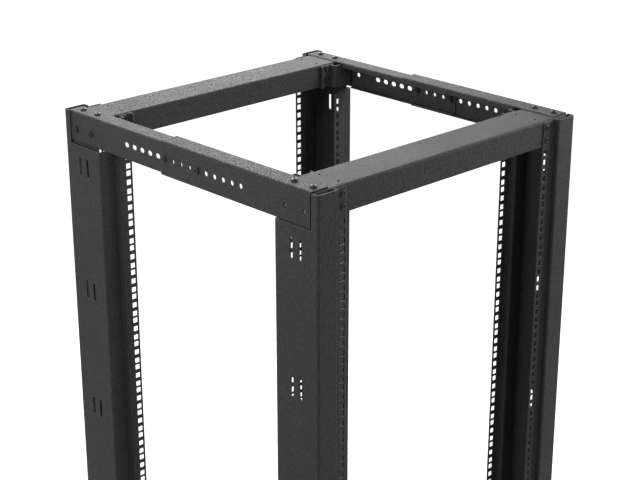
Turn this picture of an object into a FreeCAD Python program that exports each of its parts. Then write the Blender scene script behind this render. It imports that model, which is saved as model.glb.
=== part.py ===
import FreeCAD, Part
import math
import os

from FreeCAD import Vector

# Four post open frame rack, folded from sheet steel.
# X runs across the front, from left to right. Y runs from the front to the back. Z is up.
# The origin is on the floor, under the middle of the rack. All sizes are in millimetres.

# ---- the square hole pattern ----
RACK_UNITS = 22
UNIT = 44.45
SQUARE_HOLE = 9.5
HOLE_GAUGE = 465.1            # between the hole rows of the outer strips, left to right
HOLES_IN_UNIT = (6.35, 22.225, 38.1)
STRIP_LAND = 7.55             # from the middle of a square hole to the free edge of its strip

# ---- overall sizes ----
FRAME_WIDTH = 582.0
FRAME_DEPTH = 612.0
FLOOR_GAP = 6.0               # under the bottom rails and beams, room for their bolt heads

# ---- posts ----
POST_SHEET = 2.0
POST_BEND = 1.5               # inside radius of the folds
POST_DEPTH = 93.0             # outside of the web, front to back
OUTER_BLANK = 40.5            # plain part of the outer flange, from the web to the step
OUTER_STEP = 10.0             # how far the outer strip lies back from the outer blank
INNER_BLANK = 31.5            # plain part of the inner flange
INNER_STRIP = 24.0
INNER_STEP = 13.5             # how far the inner strip stands out from the inner blank
SLOT_LENGTH = 34.0            # the upright slots in the web
SLOT_WIDTH = 6.5
SLOT_PITCH = 20.0
SLOT_FROM_FACE = 47.0         # middle of a pair, from the front or back face of the frame
SLOT_FIRST_UNIT = 1           # the first pair is level with the lower edge of this unit from the top
SLOT_UNITS_APART = 5

# ---- side rails ----
RAIL_SHEET = 2.0
RAIL_BEND = 1.5
RAIL_HEIGHT = 57.0
RAIL_FLANGE = 37.0
RAIL_LIP = 10.0
RAIL_FOOT = 10.0              # the narrow lower flange
RAIL_INSET = 17.0             # from the face of the frame to the end of the outer half
INNER_HALF_INSET = 9.0        # the same for the inner half, whose end lies behind the post's web
NEST_GAP = 0.3                # between the two halves of a rail, all round
OUTER_HALF_END = 50.0         # where the outer half stops, behind the middle of the frame
INNER_HALF_END = -50.0        # where the inner half stops, in front of the middle
RAIL_PITCH = 20.0             # the row of holes along the middle of a rail's web
RAIL_HOLE = 8.0
RAIL_SLOT_LENGTH = 12.0
CLAMP_PITCH = 2               # the two clamping bolts are this many pitches from the middle
REACH_PITCHES = 7             # the row reaches this many pitches from the middle
LONE_HOLE_PITCHES = 9.5       # one more hole, in the inner halves on the right
SLIT_FROM_MIDDLE = 52.0       # a slit across the outer half's top, over the end of the inner half
SLIT_WIDTH = 0.8
SIDE_SCREW_HOLE = 10.0        # clearance holes in the outer half, for the heads of the side screws
SIDE_SCREW_FROM_FACE = 28.5
SIDE_SCREW_PITCH = 40.0
SIDE_SCREW_DROP = 33.0        # below the top of the frame
NOTCH_GAP = 1.5               # between a rail and the notch in its post, above or below it
NOTCH_END_GAP = 3.0           # the same past the end of the rail

# ---- cross beams ----
BEAM_SHEET = 2.0
BEAM_BEND = 2.0
BEAM_HEIGHT = 43.0
BEAM_BACK_GAP = 8.0           # from a beam's inner wall to the inner flange of the posts
BEAM_END_GAP = 1.0            # between a beam's end and the corner bracket
BEAM_TOP_HOLE = 5.0
BEAM_TOP_PITCH = 40.0
BEAM_TOP_FROM_SIDE = 67.5     # from the side face of the frame to the holes in the beam's top
STRIP_CLEARANCE = 5.3         # from a beam's lower edge to the first rack unit

# ---- corner brackets ----
BRACKET_SHEET = 2.0
BRACKET_BEND = 1.5
BRACKET_FACE = 24.0           # the part that lies on the beam
BRACKET_EDGE = 14.5           # from the row of square holes to the free edge of that part
BRACKET_STEP = 13.0           # how far the bracket steps off the beam
BRACKET_LIP = 7.0
BRACKET_BOTTOM = 46.0         # from the top of the frame down to the bracket's lower edge
BRACKET_TONGUE = 34.0         # how much further down it goes inside the post
BRACKET_START = 8.0           # from the face of the frame to the bracket

# ---- how finely curves are cut ----
FOLD_FLATS = 3                # flats that stand for the curve of one fold
HOLE_SIDES = 10               # sides of the round holes in the rails
END_FLATS = 4                 # flats at each end of a slot

# ---- worked out from the sizes above ----
HALF_WIDTH = FRAME_WIDTH / 2
HALF_DEPTH = FRAME_DEPTH / 2
HOLE_FROM_SIDE = HALF_WIDTH - HOLE_GAUGE / 2
OUTER_EDGE = HOLE_FROM_SIDE + STRIP_LAND
INNER_EDGE = INNER_BLANK + INNER_STRIP
INNER_HOLE_FROM_SIDE = INNER_EDGE - STRIP_LAND
NEST = RAIL_SHEET + NEST_GAP
FRAME_ZONE = RAIL_SHEET + BEAM_HEIGHT + STRIP_CLEARANCE
UNITS_BASE = FLOOR_GAP + FRAME_ZONE
UNITS_TOP = UNITS_BASE + RACK_UNITS * UNIT
FRAME_HEIGHT = UNITS_TOP + FRAME_ZONE
BEAM_FACE = OUTER_STEP + POST_SHEET
BEAM_BACK = POST_DEPTH - BEAM_BACK_GAP
POST_TOP = FRAME_HEIGHT - RAIL_SHEET
STRIP_TOP = POST_TOP - NEST
NOTCH_HEIGHT = RAIL_HEIGHT + NOTCH_GAP
BRACKET_OUTSIDE = BEAM_BACK + BRACKET_SHEET + BRACKET_STEP
FAR = 10.0                    # cutting tools reach this far past what they cut


def left_of(vector):
    return Vector(-vector.y, vector.x, 0)


def folded_section(corners, sheet, bend):
    """A face in the XY plane: a strip of sheet whose middle line runs through the corners."""
    middle = [Vector(x, y, 0) for x, y in corners]
    radius = bend + sheet / 2
    across = left_of((middle[1] - middle[0]).normalize()) * (sheet / 2)
    left_side = [middle[0] + across]
    right_side = [middle[0] - across]
    for before, corner, after in zip(middle, middle[1:], middle[2:]):
        coming = (corner - before).normalize()
        going = (after - corner).normalize()
        turn = math.atan2(coming.x * going.y - coming.y * going.x, coming.dot(going))
        inward = math.copysign(1, turn)
        fold_start = corner - coming * (radius * math.tan(abs(turn) / 2))
        centre = fold_start + left_of(coming) * (radius * inward)
        for step in range(FOLD_FLATS + 1):
            angle = turn * step / FOLD_FLATS
            outward = coming * math.sin(abs(angle)) - left_of(coming) * (math.cos(angle) * inward)
            left_side.append(centre + outward * (radius - sheet / 2 * inward))
            right_side.append(centre + outward * (radius + sheet / 2 * inward))
    across = left_of((middle[-1] - middle[-2]).normalize()) * (sheet / 2)
    left_side.append(middle[-1] + across)
    right_side.append(middle[-1] - across)
    outline = left_side + right_side[::-1]
    return Part.Face(Part.makePolygon(outline + outline[:1]))


def box(x_range, y_range, z_range):
    low = Vector(min(x_range), min(y_range), min(z_range))
    high = Vector(max(x_range), max(y_range), max(z_range))
    size = high - low
    return Part.makeBox(size.x, size.y, size.z, low)


def prism(outline, centre, along, through, depth):
    """A cutter: an outline in the plane across one axis, carried through the sheet on both sides of centre."""
    across = through.cross(along)
    corners = [centre + along * a + across * b - through * (depth / 2) for a, b in outline]
    return Part.Face(Part.makePolygon(corners + corners[:1])).extrude(through * depth)


def hole_tool(diameter, depth, centre, along, through):
    """A many-sided hole with the area of the round one."""
    part = math.pi / HOLE_SIDES
    radius = diameter / 2 * math.sqrt(part / (math.sin(part) * math.cos(part)))
    angles = [(2 * side + 1) * part for side in range(HOLE_SIDES)]
    outline = [(radius * math.cos(angle), radius * math.sin(angle)) for angle in angles]
    return prism(outline, centre, along, through, depth)


def slot_tool(slot_length, slot_width, depth, centre, along, through):
    """A slot with round ends, long along one axis and cut through another."""
    radius = slot_width / 2
    outline = []
    for end in (1, -1):
        for step in range(END_FLATS + 1):
            angle = math.pi * (step / END_FLATS - 0.5)
            reach = slot_length / 2 - radius + radius * math.cos(angle)
            outline.append((end * reach, end * radius * math.sin(angle)))
    return prism(outline, centre, along, through, depth)


def unit_hole_heights(lowest, highest):
    """Heights of the square holes that lie wholly between two levels."""
    heights = []
    for unit in range(RACK_UNITS):
        for step in HOLES_IN_UNIT:
            height = UNITS_BASE + unit * UNIT + step
            if lowest < height - STRIP_LAND and height + STRIP_LAND < highest:
                heights.append(height)
    return heights


def front_left_post():
    """An open section: both flanges of the web end in a strip of square holes that is stepped inwards."""
    skin = POST_SHEET / 2
    outer_strip = OUTER_STEP + skin
    inner_strip = POST_DEPTH + INNER_STEP - skin
    corners = [
        (OUTER_EDGE, outer_strip),
        (OUTER_BLANK - skin, outer_strip),
        (OUTER_BLANK - skin, skin),
        (skin, skin),
        (skin, POST_DEPTH - skin),
        (INNER_BLANK + skin, POST_DEPTH - skin),
        (INNER_BLANK + skin, inner_strip),
        (INNER_EDGE, inner_strip),
    ]
    post = folded_section(corners, POST_SHEET, POST_BEND).extrude(Vector(0, 0, POST_TOP))
    half_hole = SQUARE_HOLE / 2
    tools = [box((OUTER_BLANK, OUTER_EDGE + FAR), (0, OUTER_STEP + POST_SHEET + skin), (STRIP_TOP, FRAME_HEIGHT))]
    for height in unit_hole_heights(0, STRIP_TOP):
        tools.append(box(
            (HOLE_FROM_SIDE - half_hole, HOLE_FROM_SIDE + half_hole),
            (OUTER_STEP - skin, OUTER_STEP + POST_SHEET + skin),
            (height - half_hole, height + half_hole)))
    notch_top = FRAME_HEIGHT - NOTCH_HEIGHT
    notch_bottom = FLOOR_GAP + NOTCH_HEIGHT
    for height in unit_hole_heights(notch_bottom, notch_top):
        tools.append(box(
            (INNER_HOLE_FROM_SIDE - half_hole, INNER_HOLE_FROM_SIDE + half_hole),
            (inner_strip - POST_SHEET, inner_strip + POST_SHEET),
            (height - half_hole, height + half_hole)))
    for unit in range(SLOT_FIRST_UNIT, RACK_UNITS, SLOT_UNITS_APART):
        for side in (-1, 1):
            centre = Vector(skin, SLOT_FROM_FACE + side * SLOT_PITCH / 2, UNITS_TOP - unit * UNIT)
            tools.append(slot_tool(SLOT_LENGTH, SLOT_WIDTH, 2 * POST_SHEET, centre, Vector(0, 0, 1), Vector(1, 0, 0)))
    beyond = POST_DEPTH + INNER_STEP + FAR
    for z_range in ((notch_top, FRAME_HEIGHT + FAR), (-FAR, notch_bottom)):
        tools.append(box((-FAR, INNER_EDGE + FAR), (RAIL_INSET - NOTCH_END_GAP, beyond), z_range))
    post = post.cut(Part.makeCompound(tools))
    post.translate(Vector(-HALF_WIDTH, -HALF_DEPTH, 0))
    return post


def rail_section(shrink):
    """A rail seen along Y, its outer upper corner at the origin, opening towards +X."""
    skin = RAIL_SHEET / 2
    side = shrink + skin
    corners = [
        (RAIL_FLANGE - side, -shrink - RAIL_LIP + skin),
        (RAIL_FLANGE - side, -side),
        (side, -side),
        (side, -RAIL_HEIGHT + side),
        (RAIL_FOOT + shrink, -RAIL_HEIGHT + side),
    ]
    return folded_section(corners, RAIL_SHEET, RAIL_BEND)


def rail_blank(shrink, y_start, y_end):
    rail = rail_section(shrink).extrude(Vector(0, 0, y_end - y_start))
    rail.rotate(Vector(0, 0, 0), Vector(1, 0, 0), 90)
    rail.translate(Vector(-HALF_WIDTH, y_end, FRAME_HEIGHT))
    return rail


def rail_hole_tools(pitches, slotted):
    """Cutters for the row of holes: slots outside the clamping bolts on the inner half."""
    tools = []
    height = FRAME_HEIGHT - RAIL_HEIGHT / 2
    for pitch in pitches:
        centre = Vector(-HALF_WIDTH + RAIL_SHEET, pitch * RAIL_PITCH, height)
        if slotted and pitch > CLAMP_PITCH:
            tools.append(slot_tool(
                RAIL_SLOT_LENGTH, RAIL_HOLE, 4 * RAIL_SHEET, centre, Vector(0, 1, 0), Vector(1, 0, 0)))
        elif abs(pitch) != CLAMP_PITCH:
            tools.append(hole_tool(RAIL_HOLE, 4 * RAIL_SHEET, centre, Vector(0, 1, 0), Vector(1, 0, 0)))
    return tools


def rail_corner_tool(face_sign, shrink):
    """The lip and the lower flange stop short of the corner, to leave room for the beam and the bracket."""
    reach = HALF_DEPTH - BRACKET_OUTSIDE - NOTCH_END_GAP
    inside = -HALF_WIDTH + shrink + RAIL_SHEET
    below_flange = FRAME_HEIGHT - shrink - RAIL_SHEET
    return box(
        (inside, inside + RAIL_FLANGE),
        (face_sign * reach, face_sign * HALF_DEPTH),
        (below_flange, below_flange - RAIL_HEIGHT))


def left_rail_front():
    """The outer half of the telescoping rail."""
    rail = rail_blank(0, -HALF_DEPTH + RAIL_INSET, OUTER_HALF_END)
    tools = rail_hole_tools(range(-REACH_PITCHES, CLAMP_PITCH), False)
    tools.append(rail_corner_tool(-1, 0))
    fold = RAIL_SHEET + RAIL_BEND
    tools.append(box(
        (-HALF_WIDTH + fold, -HALF_WIDTH + RAIL_FLANGE - fold),
        (-SLIT_FROM_MIDDLE - SLIT_WIDTH / 2, -SLIT_FROM_MIDDLE + SLIT_WIDTH / 2),
        (FRAME_HEIGHT - fold, FRAME_HEIGHT + FAR)))
    for from_face in (SIDE_SCREW_FROM_FACE, SIDE_SCREW_FROM_FACE + SIDE_SCREW_PITCH):
        centre = Vector(-HALF_WIDTH, -HALF_DEPTH + from_face, FRAME_HEIGHT - SIDE_SCREW_DROP)
        tools.append(hole_tool(SIDE_SCREW_HOLE, 4 * RAIL_SHEET, centre, Vector(0, 1, 0), Vector(1, 0, 0)))
    return rail.cut(Part.makeCompound(tools))


def left_rail_back():
    """The inner half, one sheet and a running gap smaller, which slides in the outer half."""
    rail = rail_blank(NEST, INNER_HALF_END, HALF_DEPTH - INNER_HALF_INSET)
    tools = rail_hole_tools(range(-CLAMP_PITCH, REACH_PITCHES + 1), True)
    tools.append(rail_corner_tool(1, NEST))
    return rail.cut(Part.makeCompound(tools))


def with_lone_hole(right_rail):
    centre = Vector(HALF_WIDTH - NEST, LONE_HOLE_PITCHES * RAIL_PITCH, FRAME_HEIGHT - RAIL_HEIGHT / 2)
    return right_rail.cut(hole_tool(RAIL_HOLE, 4 * RAIL_SHEET, centre, Vector(0, 1, 0), Vector(1, 0, 0)))


def beam(drop):
    """An upside-down channel: it lies under the rails' flanges and bears on the backs of the strips."""
    skin = BEAM_SHEET / 2
    top = -skin
    bottom = -BEAM_HEIGHT + drop
    front = BEAM_FACE + skin
    back = BEAM_BACK - skin
    section = folded_section([(front, bottom), (front, top), (back, top), (back, bottom)], BEAM_SHEET, BEAM_BEND)
    side_room = NEST + RAIL_SHEET + BRACKET_SHEET + BEAM_END_GAP
    half_length = HALF_WIDTH - side_room
    channel = section.extrude(Vector(0, 0, 2 * half_length))
    channel.rotate(Vector(0, 0, 0), Vector(1, 1, 1), 120)
    channel.translate(Vector(-half_length, -HALF_DEPTH, FRAME_HEIGHT - RAIL_SHEET - drop))
    return channel


def with_top_holes(channel):
    """A pair of small round holes near each end of a beam's top, one behind the other."""
    bounds = channel.BoundBox
    tools = []
    for side in (-1, 1):
        for step in (-0.5, 0.5):
            below = Vector(
                side * (HALF_WIDTH - BEAM_TOP_FROM_SIDE),
                (bounds.YMin + bounds.YMax) / 2 + step * BEAM_TOP_PITCH,
                bounds.ZMax - 2 * BEAM_SHEET)
            tools.append(Part.makeCylinder(BEAM_TOP_HOLE / 2, 4 * BEAM_SHEET, below))
    return channel.cut(Part.makeCompound(tools))


def front_left_bracket(shrink):
    """A stepped plate: it lies on the beam's inner wall, steps off it and turns along the rail and the post."""
    skin = BRACKET_SHEET / 2
    side = shrink + RAIL_SHEET + skin
    face = BEAM_BACK + skin
    step = face + BRACKET_STEP
    inner = HOLE_FROM_SIDE + BRACKET_EDGE
    outer = inner - BRACKET_FACE
    top = shrink + RAIL_SHEET + RAIL_BEND
    corners = [
        (side, BRACKET_START),
        (side, step),
        (outer, step),
        (outer, face),
        (inner, face),
        (inner, face + BRACKET_LIP),
    ]
    whole_height = BRACKET_BOTTOM - top + BRACKET_TONGUE
    bracket = folded_section(corners, BRACKET_SHEET, BRACKET_BEND).extrude(Vector(0, 0, whole_height))
    bracket = bracket.cut(box((-FAR, inner + FAR), (BEAM_BACK, step + FAR), (-FAR, BRACKET_TONGUE)))
    bracket.translate(Vector(-HALF_WIDTH, -HALF_DEPTH, FRAME_HEIGHT - top - whole_height))
    return bracket


def mirrored_x(shape):
    return shape.mirror(Vector(0, 0, 0), Vector(1, 0, 0))


def mirrored_y(shape):
    return shape.mirror(Vector(0, 0, 0), Vector(0, 1, 0))


def at_bottom(shape):
    """The same piece turned upside down, for the frame that stands just above the floor."""
    return shape.mirror(Vector(0, 0, (FRAME_HEIGHT + FLOOR_GAP) / 2), Vector(0, 0, 1))


def build():
    pieces = {}
    post = front_left_post()
    pieces["front_left_post"] = post
    pieces["front_right_post"] = mirrored_x(post)
    pieces["back_left_post"] = mirrored_y(post)
    pieces["back_right_post"] = mirrored_x(mirrored_y(post))
    front_beam = beam(0)
    back_beam = mirrored_y(beam(NEST))
    pieces["top_front_beam"] = with_top_holes(front_beam)
    pieces["top_back_beam"] = with_top_holes(back_beam)
    pieces["bottom_front_beam"] = at_bottom(front_beam)
    pieces["bottom_back_beam"] = at_bottom(back_beam)
    left_pieces = {
        "left_rail_front": left_rail_front(),
        "left_rail_back": left_rail_back(),
        "front_left_bracket": front_left_bracket(0),
        "back_left_bracket": mirrored_y(front_left_bracket(NEST)),
    }
    right_pieces = {name.replace("left", "right"): mirrored_x(piece) for name, piece in left_pieces.items()}
    right_pieces["right_rail_back"] = with_lone_hole(right_pieces["right_rail_back"])
    for side_pieces in (left_pieces, right_pieces):
        for name, piece in side_pieces.items():
            pieces["top_" + name] = piece
            pieces["bottom_" + name] = at_bottom(piece)
    return pieces


os.makedirs("parts", exist_ok=True)
for name, shape in build().items():
    shape.exportStep("parts/" + name + ".step")
    print(name, "valid" if shape.isValid() else "NOT VALID", "solids", len(shape.Solids), shape.BoundBox)
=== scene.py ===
# %% [markdown]
# # A four post open frame rack
# The rack is a bare frame of folded sheet steel under black powder coat: four posts with
# strips of square holes, and a rectangle of rails and beams at the top and at the bottom.
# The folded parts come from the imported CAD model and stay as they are. This notebook adds
# what CAD leaves out: the screws and nuts, the paint, the light and the camera.

# %% Load the folded parts
import bpy
import math
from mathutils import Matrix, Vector


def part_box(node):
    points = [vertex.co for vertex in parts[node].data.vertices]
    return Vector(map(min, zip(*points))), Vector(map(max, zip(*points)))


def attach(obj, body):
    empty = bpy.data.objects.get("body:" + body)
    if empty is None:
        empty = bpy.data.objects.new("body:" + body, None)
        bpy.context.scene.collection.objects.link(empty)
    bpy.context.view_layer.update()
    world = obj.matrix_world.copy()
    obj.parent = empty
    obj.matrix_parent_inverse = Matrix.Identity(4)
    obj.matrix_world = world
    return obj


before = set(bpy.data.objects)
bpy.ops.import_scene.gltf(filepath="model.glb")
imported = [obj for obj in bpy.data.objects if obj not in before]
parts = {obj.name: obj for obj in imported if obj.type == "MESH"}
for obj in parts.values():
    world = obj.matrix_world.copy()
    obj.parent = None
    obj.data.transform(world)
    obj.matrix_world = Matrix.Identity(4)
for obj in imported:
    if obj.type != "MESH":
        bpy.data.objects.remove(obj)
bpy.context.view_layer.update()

# %% [markdown]
# The faces that carry the screws are read from the CAD parts, so that a screw stays on its
# part if the frame's size changes. The origin is on the floor under the middle of the rack.
# X runs to the right, Y to the back and Z up, all in metres.

# %% Read the faces that the fasteners sit on
mm = 0.001
post_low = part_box("front_left_post")[0]
front_rail_low, front_rail_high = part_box("top_left_rail_front")
back_rail_low, back_rail_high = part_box("top_left_rail_back")
front_beam_low, front_beam_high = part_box("top_front_beam")
side_x = -front_rail_low.x
face_y = -post_low.y
top_z = front_rail_high.z
middle_z = (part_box("bottom_left_rail_front")[0].z + top_z) / 2
wall = 2 * mm
strip_y = -front_beam_low.y + wall
beam_back_y = -front_beam_high.y
print("side", round(side_x, 4), "face", round(face_y, 4), "top", round(top_z, 4),
      "strip", round(strip_y, 4), "beam back", round(beam_back_y, 4))


# %% [markdown]
# ## Tools for shaping
# In Blender a mesh is shaped by selecting faces and running an operator on them, exactly as
# by hand. An operator acts on everything that is selected, so each step starts by clearing
# the selection. Faces are found by where they are and which way they point, because their
# numbers change whenever the mesh does.

# %% Select by place
def only(*pieces):
    """Leaves just these objects selected, the first one active."""
    if bpy.context.object and bpy.context.object.mode != "OBJECT":
        bpy.ops.object.mode_set(mode="OBJECT")
    bpy.ops.object.select_all(action="DESELECT")
    for piece in pieces:
        piece.select_set(True)
    bpy.context.view_layer.objects.active = pieces[0]


def pick_faces(piece, test):
    """Goes into edit mode with just the faces that pass the test selected."""
    only(piece)
    bpy.ops.object.mode_set(mode="EDIT")
    bpy.ops.mesh.select_mode(type="FACE")
    bpy.ops.mesh.select_all(action="DESELECT")
    bpy.ops.object.mode_set(mode="OBJECT")
    for face in piece.data.polygons:
        face.select = test(face.center, face.normal)
    bpy.ops.object.mode_set(mode="EDIT")


def pick_edges(piece, test):
    """Goes into edit mode with just the edges that pass the test selected."""
    only(piece)
    bpy.ops.object.mode_set(mode="EDIT")
    bpy.ops.mesh.select_mode(type="EDGE")
    bpy.ops.mesh.select_all(action="DESELECT")
    bpy.ops.object.mode_set(mode="OBJECT")
    points = piece.data.vertices
    for edge in piece.data.edges:
        edge.select = test(*(points[corner].co for corner in edge.vertices))
    bpy.ops.object.mode_set(mode="EDIT")


def press(piece, title, modifier_type, **settings):
    """Adds a modifier and applies it at once."""
    only(piece)
    modifier = piece.modifiers.new(title, modifier_type)
    for setting, value in settings.items():
        setattr(modifier, setting, value)
    bpy.ops.object.modifier_apply(modifier=modifier.name)


def discard(piece):
    """Deletes a tool or a model that has done its work."""
    only(piece)
    bpy.ops.object.delete()


print("shaping tools ready")


# %% [markdown]
# ## A button head screw
# The frame is held by low domed screws with a hexagon socket. The head is a short cylinder
# whose top is pulled in and up in rings, which gives the dome, and the last ring is left
# flat. The socket is a six-sided plug taken away with a Boolean modifier: an inset of the
# top face would have as many sides as the dome, and a real key needs six.

# %% Model the screw once, standing on the origin
def button_screw(name, width, height, key, sides=24):
    """The head of a button screw: widest just above its seat, domed, with a hexagon socket."""
    rim_share = 0.28
    rim = height * rim_share
    dome_shares = (0.90, 0.76, 0.60)
    flat_share = 0.5
    bpy.ops.object.select_all(action="DESELECT")
    bpy.ops.mesh.primitive_cylinder_add(
        vertices=sides, radius=width / 2, depth=rim, location=(0, 0, rim / 2))
    screw = bpy.context.object
    screw.name = name
    bpy.ops.object.transform_apply(location=True, rotation=True, scale=True)
    pick_faces(screw, lambda centre, normal: normal.z > 0.9)
    radius = width / 2
    level = rim
    for share in dome_shares:
        rise = math.sqrt(1 - ((share - flat_share) / (1 - flat_share)) ** 2)
        next_level = height * (rim_share + (1 - rim_share) * rise)
        next_radius = share * width / 2
        bpy.ops.mesh.extrude_region_move(TRANSFORM_OT_translate={"value": (0, 0, next_level - level)})
        bpy.ops.transform.resize(value=(next_radius / radius, next_radius / radius, 1))
        radius = next_radius
        level = next_level
    bpy.ops.object.mode_set(mode="OBJECT")
    bpy.ops.object.select_all(action="DESELECT")
    bpy.ops.mesh.primitive_cylinder_add(
        vertices=6, radius=key / math.sqrt(3), depth=height, location=(0, 0, height))
    plug = bpy.context.object
    pick_faces(plug, lambda centre, normal: normal.z < -0.9)
    point = 0.2 * key
    bpy.ops.mesh.inset(thickness=point, depth=0.6 * point)
    bpy.ops.object.mode_set(mode="OBJECT")
    press(screw, "socket", "BOOLEAN", object=plug, operation="DIFFERENCE", solver="EXACT")
    discard(plug)
    only(screw)
    bpy.ops.object.shade_smooth_by_angle(angle=math.radians(35))
    print(name, len(screw.data.polygons), "faces, height", round(screw.dimensions.z, 4))
    return screw


low_screw = button_screw("low_screw", 10.5 * mm, 2.2 * mm, 4 * mm)
small_screw = button_screw("small_screw", 10.5 * mm, 3.3 * mm, 4 * mm)
flush_screw = button_screw("flush_screw", 7.2 * mm, 1.6 * mm, 2.6 * mm, sides=16)

# %% [markdown]
# ## A hexagon nut with the end of its bolt
# Inside the beams and rails each bolt ends in a nut. A nut is a six-sided prism whose corners
# are turned off at 30 degrees on a lathe. A cone that meets the prism does the same here: the
# two are kept only where they overlap. The thread's end is a short cylinder whose rim is
# bevelled, standing a little proud of the nut.

# %% Model the nut once, standing on the origin
def hexagon_nut(name, across, height, thread):
    """A chamfered nut, with the bolt's end standing out of it."""
    bpy.ops.object.select_all(action="DESELECT")
    bpy.ops.mesh.primitive_cylinder_add(
        vertices=6, radius=across / math.sqrt(3), depth=height, location=(0, 0, height / 2))
    nut = bpy.context.object
    nut.name = name
    bpy.ops.object.transform_apply(location=True, rotation=True, scale=True)
    slope = math.tan(math.radians(30))
    top_radius = across / 2 * 0.96
    reach = 4 * height
    rim_bevel = thread * 0.12
    bolt_length = 1.5 * height
    bpy.ops.object.select_all(action="DESELECT")
    bpy.ops.mesh.primitive_cone_add(
        vertices=24, radius1=top_radius + reach / slope, radius2=top_radius, depth=reach,
        location=(0, 0, height - reach / 2))
    cone = bpy.context.object
    press(nut, "chamfer", "BOOLEAN", object=cone, operation="INTERSECT", solver="EXACT")
    discard(cone)
    bpy.ops.object.select_all(action="DESELECT")
    bpy.ops.mesh.primitive_cylinder_add(
        vertices=16, radius=thread / 2, depth=bolt_length, location=(0, 0, bolt_length / 2))
    bolt_end = bpy.context.object
    pick_edges(bolt_end, lambda a, b: min(a.z, b.z) > height * 0.7 and abs(a.z - b.z) < 1e-6)
    bpy.ops.mesh.bevel(offset=rim_bevel, segments=1, affect="EDGES")
    bpy.ops.object.mode_set(mode="OBJECT")
    press(nut, "thread", "BOOLEAN", object=bolt_end, operation="UNION", solver="EXACT")
    discard(bolt_end)
    only(nut)
    bpy.ops.object.shade_smooth_by_angle(angle=math.radians(28))
    print(name, len(nut.data.polygons), "faces, height", round(nut.dimensions.z, 4))
    return nut


beam_nut = hexagon_nut("beam_nut", 13 * mm, 5.5 * mm, 8 * mm)
rail_nut = hexagon_nut("rail_nut", 10 * mm, 4.5 * mm, 6 * mm)

# %% [markdown]
# ## Putting the fasteners in place
# One corner's places are worked out and the other seven are its mirror images. A screw looks
# the same from all round, so a mirrored place needs only a turned screw and no mirrored mesh.
# Copies for one job at one corner are joined into one piece, and each piece's place goes
# into its mesh, with the object left at the origin.

# %% Copy, turn and join
def fasten(model, name, spots):
    """One piece from copies of a model, each stood on its spot and turned to face outwards."""
    copies = []
    for place, direction in spots:
        copy = model.copy()
        copy.data = model.data.copy()
        bpy.context.collection.objects.link(copy)
        copy.rotation_mode = "QUATERNION"
        copy.rotation_quaternion = Vector(direction).to_track_quat("Z", "Y")
        copy.location = place
        copies.append(copy)
    only(*copies)
    bpy.ops.object.transform_apply(location=True, rotation=True, scale=True)
    if len(copies) > 1:
        bpy.ops.object.join()
    piece = bpy.context.object
    piece.name = name
    piece.data.name = name
    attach(piece, "root")
    return piece


corners = []
for level_name, level_sign in (("top", 1), ("bottom", -1)):
    for end_name, end_sign in (("front", -1), ("back", 1)):
        for side_name, side_sign in (("left", -1), ("right", 1)):
            corners.append((f"{level_name}_{end_name}_{side_name}", level_sign, end_sign, side_sign))


def at_corner(corner, x, y, drop):
    """The point x from the middle, y from the middle and drop below the top, at one corner."""
    _, level_sign, end_sign, side_sign = corner
    return Vector((side_sign * x, end_sign * y, middle_z + level_sign * (top_z - drop - middle_z)))


print("corners", len(corners))

# %% [markdown]
# Two low M6 screws go through each strip of square holes into the beam behind it. They stand
# in line with the square holes, above the first rack unit. The standard fixes the distance
# between the two rows of square holes at 465.1 mm.

# %% Fasten the strips to the beams
strip_drops = (14 * mm, 34 * mm)
hole_x = 465.1 / 2 * mm
fasteners = []
for corner in corners:
    outward = (0, corner[2], 0)
    spots = [(at_corner(corner, hole_x, strip_y, drop), outward) for drop in strip_drops]
    fasteners.append(fasten(low_screw, corner[0] + "_strip_screws", spots))
print("strip screws", len(fasteners) * len(strip_drops))

# %% [markdown]
# Their nuts lie inside the beams, against the back of the front wall. Through the open side
# of the channel they can be reached with a spanner.

# %% Put their nuts inside the beams
for corner in corners:
    inward = (0, -corner[2], 0)
    front_wall = at_corner(corner, hole_x, strip_y - 2 * wall, 0).y
    spots = []
    for drop in strip_drops:
        place = at_corner(corner, hole_x, 0, drop)
        place.y = front_wall
        spots.append((place, inward))
    fasteners.append(fasten(beam_nut, corner[0] + "_strip_nuts", spots))
print("pieces so far", len(fasteners))

# %% [markdown]
# Each corner's bracket lies on the beam's inner wall, and two more screws hold it there.

# %% Fasten the brackets to the beams
bracket_drops = (12 * mm, 32 * mm)
for corner in corners:
    inward = (0, -corner[2], 0)
    spots = []
    for drop in bracket_drops:
        spots.append((at_corner(corner, hole_x, beam_back_y - wall, drop), inward))
    fasteners.append(fasten(small_screw, corner[0] + "_bracket_screws", spots))
print("pieces so far", len(fasteners))

# %% [markdown]
# The rails' flanges lie on the beams and are held from above by two small screws at each
# corner. At the back the rail is the thinner inner half, so its flange is one sheet lower.

# %% Fasten the rails' flanges down
flange_x = side_x - 18.5 * mm
flange_steps = (29 * mm, 68.5 * mm)
for corner in corners:
    rail_top = front_rail_high.z if corner[2] < 0 else back_rail_high.z
    drop = top_z - rail_top
    upward = (0, 0, corner[1])
    spots = [(at_corner(corner, flange_x, face_y - step, drop), upward) for step in flange_steps]
    fasteners.append(fasten(small_screw, corner[0] + "_flange_screws", spots))
print("pieces so far", len(fasteners))

# %% [markdown]
# Two screws go through the side of each rail into the bracket behind it. At the front they
# are small and lie almost flush, and at the back they are the same as on the flanges.

# %% Fasten the rails' sides
side_steps = (28.5 * mm, 68.5 * mm)
side_drop = 33 * mm
for corner in corners:
    at_front = corner[2] < 0
    rail_side = side_x - wall if at_front else -back_rail_low.x
    outward = (corner[3], 0, 0)
    spots = [(at_corner(corner, rail_side, face_y - step, side_drop), outward) for step in side_steps]
    model = flush_screw if at_front else small_screw
    fasteners.append(fasten(model, corner[0] + "_side_screws", spots))
print("pieces so far", len(fasteners))

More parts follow.
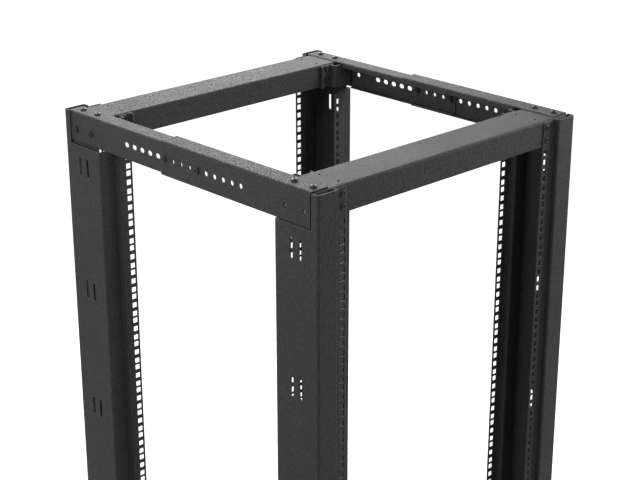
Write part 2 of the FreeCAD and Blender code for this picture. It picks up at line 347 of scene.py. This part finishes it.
# %% [markdown]
# Two clamping screws near the middle of each rail go through both of its halves. Slackened,
# they let one half slide in the other to make the rack deeper or shallower.

# %% Clamp the halves of the rails together
clamp_y = 40 * mm
clamp_drop = (front_rail_high.z - front_rail_low.z) / 2
rail_nut_x = -back_rail_low.x - wall
for level_name, level_sign in (("top", 1), ("bottom", -1)):
    for side_name, side_sign in (("left", -1), ("right", 1)):
        corner = ("", level_sign, 1, side_sign)
        heads, nuts = [], []
        for end_sign in (-1, 1):
            outside = at_corner(corner, side_x, end_sign * clamp_y, clamp_drop)
            inside = at_corner(corner, rail_nut_x, end_sign * clamp_y, clamp_drop)
            heads.append((outside, (side_sign, 0, 0)))
            nuts.append((inside, (-side_sign, 0, 0)))
        fasteners.append(fasten(small_screw, f"{level_name}_{side_name}_clamp_screws", heads))
        fasteners.append(fasten(rail_nut, f"{level_name}_{side_name}_clamp_nuts", nuts))
print("pieces so far", len(fasteners))

# %% [markdown]
# The five models at the origin were only patterns to copy from. They go now, so that nothing
# stands loose under the rack.

# %% Clear the models away
for model in (low_screw, small_screw, flush_screw, beam_nut, rail_nut):
    discard(model)

# %% [markdown]
# ## Shader maths as plain expressions
# A material is a web of nodes, and wiring sums by hand hides what they mean. This small class
# wraps a socket, so that `1 - mask * 0.5` adds the Math nodes by itself. Colours go through
# Mix nodes, because a Math node would turn them grey. Every other node comes from one method.

# %% A socket that understands arithmetic
class Signal:
    """A number that varies over the surface, from some node's output."""

    def __init__(self, finish, socket):
        self.finish = finish
        self.socket = socket

    def maths(self, operation, *others):
        return self.finish.node("ShaderNodeMath", {"operation": operation}, [self, *others])

    def __add__(self, other):
        return self.maths("ADD", other)

    def __sub__(self, other):
        return self.maths("SUBTRACT", other)

    def __mul__(self, other):
        return self.maths("MULTIPLY", other)

    def __rsub__(self, other):
        return self.finish.node("ShaderNodeMath", {"operation": "SUBTRACT"}, [other, self])

    __radd__ = __add__
    __rmul__ = __mul__

    def between_levels(self, low, high):
        """From low to high as the number goes from 0 to 1."""
        return self * (high - low) + low

    def between(self, low, high):
        """0 at low and 1 at high, with a smooth start and stop."""
        settings = {"interpolation_type": "SMOOTHSTEP"}
        values = {"Value": self, "From Min": low, "From Max": high}
        return self.finish.node("ShaderNodeMapRange", settings, values)


class Finish:
    """The node tree of a material or of the room, under construction."""

    def __init__(self, tree):
        self.tree = tree
        self.tree.nodes.clear()

    def node(self, kind, settings=None, inputs=None, output=0):
        """Adds a node: settings first, then the values or links of its sockets."""
        made = self.tree.nodes.new(kind)
        for name, value in (settings or {}).items():
            setattr(made, name, value)
        pairs = inputs.items() if isinstance(inputs, dict) else enumerate(inputs or [])
        for key, value in pairs:
            socket = made.inputs[key]
            if isinstance(value, Signal):
                self.tree.links.new(value.socket, socket)
            else:
                socket.default_value = value
        return Signal(self, made.outputs[output]) if made.outputs else None

    def light_path(self):
        """1 for rays from the camera and for mirrored and transmitted rays, 0 for all others."""
        path = self.node("ShaderNodeLightPath", output=0)
        sockets = path.socket.node.outputs
        for name in ("Is Glossy Ray", "Is Transmission Ray"):
            path = path.maths("MAXIMUM", Signal(self, sockets[name]))
        return path

    def mix_colours(self, share, first, second):
        """From the first colour to the second as share goes from 0 to 1."""
        settings = {"data_type": "RGBA"}
        colours = [colour if isinstance(colour, Signal) else (*colour, 1) for colour in (first, second)]
        return self.node("ShaderNodeMix", settings, {0: share, 6: colours[0], 7: colours[1]}, output=2)


def new_material(name):
    """An empty material, and the finish that will fill it."""
    material = bpy.data.materials.new(name)
    material.use_nodes = True
    return material, Finish(material.node_tree)


print("shader tools ready")

# %% [markdown]
# ## Black powder coat
# Powder coat is sprayed on as dry dust and melted in an oven. It never flows quite smooth:
# it has fine grains, coarser crests a few millimetres apart, and slow smears and clouds through
# both. Light is also painted into its colour: painted glints on the fine grains, painted shade
# in the hollows between the crests, and a painted highlight of lighter grey on folds and cut
# edges. The texture is four layers of noise on Object coordinates, which run on from part to
# part, and the edges come from the Bevel node, whose rounded normal differs from the flat one
# only near an edge.

# %% Mix the powder coat
def powder_coat():
    material, coat = new_material("black_powder_coat")
    place = coat.node("ShaderNodeTexCoord", output=3)

    def grain(scale, detail, roughness):
        values = {"Vector": place, "Scale": scale, "Detail": detail, "Roughness": roughness}
        return coat.node("ShaderNodeTexNoise", {"noise_dimensions": "3D"}, values)

    fine = grain(820, 2, 0.6)
    coarse = grain(270, 3, 0.7)
    cloud = grain(9, 3, 0.6)
    smear = grain(45, 3, 0.6)
    rounded = coat.node("ShaderNodeBevel", {"samples": 8}, {"Radius": 1.1 * mm})
    flat = coat.node("ShaderNodeNewGeometry", output=1)
    alike = coat.node("ShaderNodeVectorMath", {"operation": "DOT_PRODUCT"}, [rounded, flat], output=1)
    edge = (1 - alike).between(0.02, 0.22)
    # Painted glints: the fine grains get a lighter grey in the colour, standing in for glinting light.
    painted_glint = fine.between(0.60, 0.76)
    crest = coarse.between(0.36, 0.64)
    hollow_painted_shade = (0.0230, 0.0230, 0.0234)
    crest_painted_light = (0.0370, 0.0370, 0.0375)
    cloud_black = (0.024, 0.024, 0.0245)
    painted_glint_grey = (0.085, 0.085, 0.086)
    painted_edge_highlight = (0.200, 0.200, 0.202)
    # Painted shade in the texture: its hollows are coloured darker and its crests lighter, as if the
    # crests shaded the hollows.
    shade = coat.mix_colours(crest, hollow_painted_shade, crest_painted_light)
    shade = coat.mix_colours(cloud.between(0.3, 0.7) * 0.25, shade, cloud_black)
    shade = coat.mix_colours(painted_glint * 0.4, shade, painted_glint_grey)
    # Painted highlight: folds and cut edges get a lighter grey where a rounded edge would catch the
    # light.
    shade = coat.mix_colours(edge * (0.5 + cloud * 0.5), shade, painted_edge_highlight)
    roughness = 0.46 + cloud * 0.08 + smear * 0.06 - painted_glint * 0.10 - edge * 0.08
    height = fine * 0.5 + coarse * 1.0 + smear * 0.3
    normal = coat.node("ShaderNodeBump", None,
                       {"Strength": 1.0, "Distance": 1.3 * mm, "Height": height, "Normal": rounded})
    surface = coat.node("ShaderNodeBsdfPrincipled", None,
                        {"Base Color": shade, "Roughness": roughness, "Normal": normal,
                         "IOR": 1.5, "Specular IOR Level": 0.1})
    coat.node("ShaderNodeOutputMaterial", None, {"Surface": surface})
    print(material.name, len(coat.tree.nodes), "nodes")
    return material


black_coat = powder_coat()
for part in parts.values():
    part.data.materials.clear()
    part.data.materials.append(black_coat)

# %% [markdown]
# ## Blackened steel
# The screws and nuts are hardened steel with a black oxide skin: darker than the paint and
# smoother, with a thin metallic gleam where a key or a spanner has rubbed the edges. The
# flush screws in the rails' sides get the same recipe, but paler and with a wider bright rim:
# a painted highlight round the socket.

# %% Mix the blackened steel
def blackened_steel(name, tone, wear_and_painted_highlight, rim):
    """Dark oxide on steel of this tone; the wear value is how bare and bright its edges are, worn on
    the plain screws and a painted highlight on the flush ones, rim how wide.
    """
    material, skin = new_material(name)
    place = skin.node("ShaderNodeTexCoord", output=3)

    def grain(scale, detail):
        values = {"Vector": place, "Scale": scale, "Detail": detail, "Roughness": 0.6}
        return skin.node("ShaderNodeTexNoise", {"noise_dimensions": "3D"}, values)

    blotch = grain(260, 3)
    fine = grain(2200, 2)
    rounded = skin.node("ShaderNodeBevel", {"samples": 6}, {"Radius": rim})
    flat = skin.node("ShaderNodeNewGeometry", output=1)
    alike = skin.node("ShaderNodeVectorMath", {"operation": "DOT_PRODUCT"}, [rounded, flat], output=1)
    edge = (1 - alike).between(0.03, 0.3) * blotch.between(0.25, 0.6)
    pale = tone * 2.3
    bare_steel_and_painted_highlight = (0.30, 0.30, 0.30)
    shade = skin.mix_colours(blotch.between(0.3, 0.7), (tone, tone, tone * 1.1), (pale, pale, pale))
    # Bare edges: worn steel on the plain screws, a painted highlight on the flush ones.
    shade = skin.mix_colours(edge * wear_and_painted_highlight, shade, bare_steel_and_painted_highlight)
    roughness = 0.24 + blotch * 0.12 - edge * 0.06
    normal = skin.node("ShaderNodeBump", None,
                       {"Strength": 0.3, "Distance": 0.05 * mm, "Height": fine, "Normal": rounded})
    surface = skin.node("ShaderNodeBsdfPrincipled", None,
                        {"Base Color": shade, "Metallic": edge * wear_and_painted_highlight, "Roughness": roughness,
                         "Normal": normal, "Specular IOR Level": 0.2})
    skin.node("ShaderNodeOutputMaterial", None, {"Surface": surface})
    print(material.name, len(skin.tree.nodes), "nodes")
    return material


black_steel = blackened_steel("blackened_steel", tone=0.006, wear_and_painted_highlight=0.3, rim=0.4 * mm)
# Painted highlight: the flush screws are coloured paler, with a wide bright rim round the socket.
flush_steel_painted_highlight = blackened_steel("flush_steel_painted_highlight", tone=0.035, wear_and_painted_highlight=0.9, rim=0.7 * mm)
for piece in fasteners:
    flush = "front" in piece.name and "side_screws" in piece.name
    piece.data.materials.clear()
    piece.data.materials.append(flush_steel_painted_highlight if flush else black_steel)

# %% [markdown]
# ## The studio
# The rack stands on a wide pale floor that runs on to a white room. To the camera, and in
# anything shiny, the floor adds some light of its own: little near the rack, so that the soft
# shadow round the posts stays, and more further out, so that open floor is pure white.

# %% Lay the floor
def studio_floor():
    """A pale matt material that brightens with the distance from the rack."""
    material, ground = new_material("studio_floor")
    place = ground.node("ShaderNodeTexCoord", output=3)
    values = {"Vector": place, "Scale": 6.0, "Detail": 4.0, "Roughness": 0.6}
    mottle = ground.node("ShaderNodeTexNoise", None, values)
    shade = ground.mix_colours(mottle, (0.80, 0.80, 0.80), (0.84, 0.84, 0.84))
    away = ground.node("ShaderNodeVectorMath", {"operation": "LENGTH"}, [place], output=1)
    glow = away.between(0.4, 1.6).between_levels(0.25, 0.85)
    shine = ground.mix_colours(ground.light_path() * glow, (0, 0, 0), (1, 1, 1))
    paint = ground.node("ShaderNodeBsdfPrincipled", None,
                        {"Base Color": shade, "Roughness": 0.9, "Specular IOR Level": 0.1,
                         "Emission Color": shine, "Emission Strength": 1.0})
    ground.node("ShaderNodeOutputMaterial", None, {"Surface": paint})
    return material


bpy.ops.object.select_all(action="DESELECT")
bpy.ops.mesh.primitive_plane_add(size=40, location=(0, 0, 0))
floor = bpy.context.object
floor.name = "studio_floor"
floor.data.materials.append(studio_floor())
print("floor", [round(side, 1) for side in floor.dimensions])

# %% [markdown]
# The room is plain white to the camera and in every reflection, but it gives only a third of
# the light. That leaves the insides of the channels dark, and lets the panels shape the rest.

# %% Paint the room white
def white_room():
    """White where it is seen, and dimmer where it lights the rack."""
    world = bpy.data.worlds.new("white_room")
    world.use_nodes = True
    room = Finish(world.node_tree)
    path = room.light_path()
    strength = path.between_levels(0.3, 1.0)
    shine = room.node("ShaderNodeBackground", None, {"Color": (1, 1, 1, 1), "Strength": strength})
    room.node("ShaderNodeOutputWorld", None, {"Surface": shine})
    return world


bpy.context.scene.world = white_room()
print("room", bpy.context.scene.world.name)

# %% [markdown]
# Soft panels hang close round the top of the rack. Near lights fade quickly with distance, so
# the posts darken gently towards the floor. The left one meets the rails' sides squarely and
# shows them smooth. The right one skims along the front, and raking light brings out the grain
# of the coat there. The ones behind are mirrored in everything that faces up.

# %% Hang the panels
def soft_panel(name, power, width, height, place, aim):
    """A rectangular lamp that faces the point it is aimed at, and that the camera doesn't see."""
    data = bpy.data.lights.new(name, "AREA")
    data.shape = "RECTANGLE"
    data.size = width
    data.size_y = height
    data.energy = power
    panel = bpy.data.objects.new(name, data)
    bpy.context.collection.objects.link(panel)
    panel.location = place
    panel.rotation_euler = (Vector(aim) - Vector(place)).to_track_quat("-Z", "Y").to_euler()
    panel.visible_camera = False
    print(name, power, "W")


soft_panel("left_panel", 7.7, 0.8, 0.4, (-1.05, 0.0, 1.5), (-0.29, 0.0, 1.0))
soft_panel("right_panel", 10.0, 0.4, 0.4, (0.80, -0.62, 1.45), (0.2, -0.3, 1.0))
soft_panel("front_panel", 4.0, 0.5, 0.4, (-0.02, -1.35, 1.6), (0.1, -0.3, 0.9))
soft_panel("back_panel", 15.0, 1.2, 0.4, (0.25, 1.1, 1.6), (0.0, 0.3, 1.05))
soft_panel("back_right_panel", 9.0, 0.8, 0.4, (1.0, 0.9, 1.6), (0.2, 0.2, 1.05))
soft_panel("back_left_panel", 14.0, 2.0, 1.4, (-1.8, 2.4, 2.3), (0.0, 0.0, 1.0))

# %% [markdown]
# ## The camera
# The camera stands off the front left corner, some way above the top of the rack. It is
# turned towards the rack and tipped down by 21 degrees, and a long lens keeps the far posts
# nearly as large as the near ones.

# %% Place the camera
camera_data = bpy.data.cameras.new("studio_camera")
camera_data.lens = 86.72
camera_data.sensor_width = 36
camera_data.clip_start = 0.05
camera_data.clip_end = 60
camera = bpy.data.objects.new("studio_camera", camera_data)
bpy.context.collection.objects.link(camera)
height_above_rack = 0.71154
tip_down = 0.365822
turn_right = 0.763676
camera.location = (-1.69527, -1.77630, top_z + height_above_rack)
camera.rotation_euler = (math.radians(90) - tip_down, 0, -turn_right)
bpy.context.scene.camera = camera
bpy.context.scene.view_settings.view_transform = "Standard"
print("camera", [round(value, 3) for value in camera.location])

# %% [markdown]
# The screw heads stand a little outside the folded parts, so the model with them is slightly
# larger than the CAD model.

# %% Clear the selection
only(floor)
bpy.ops.object.select_all(action="DESELECT")
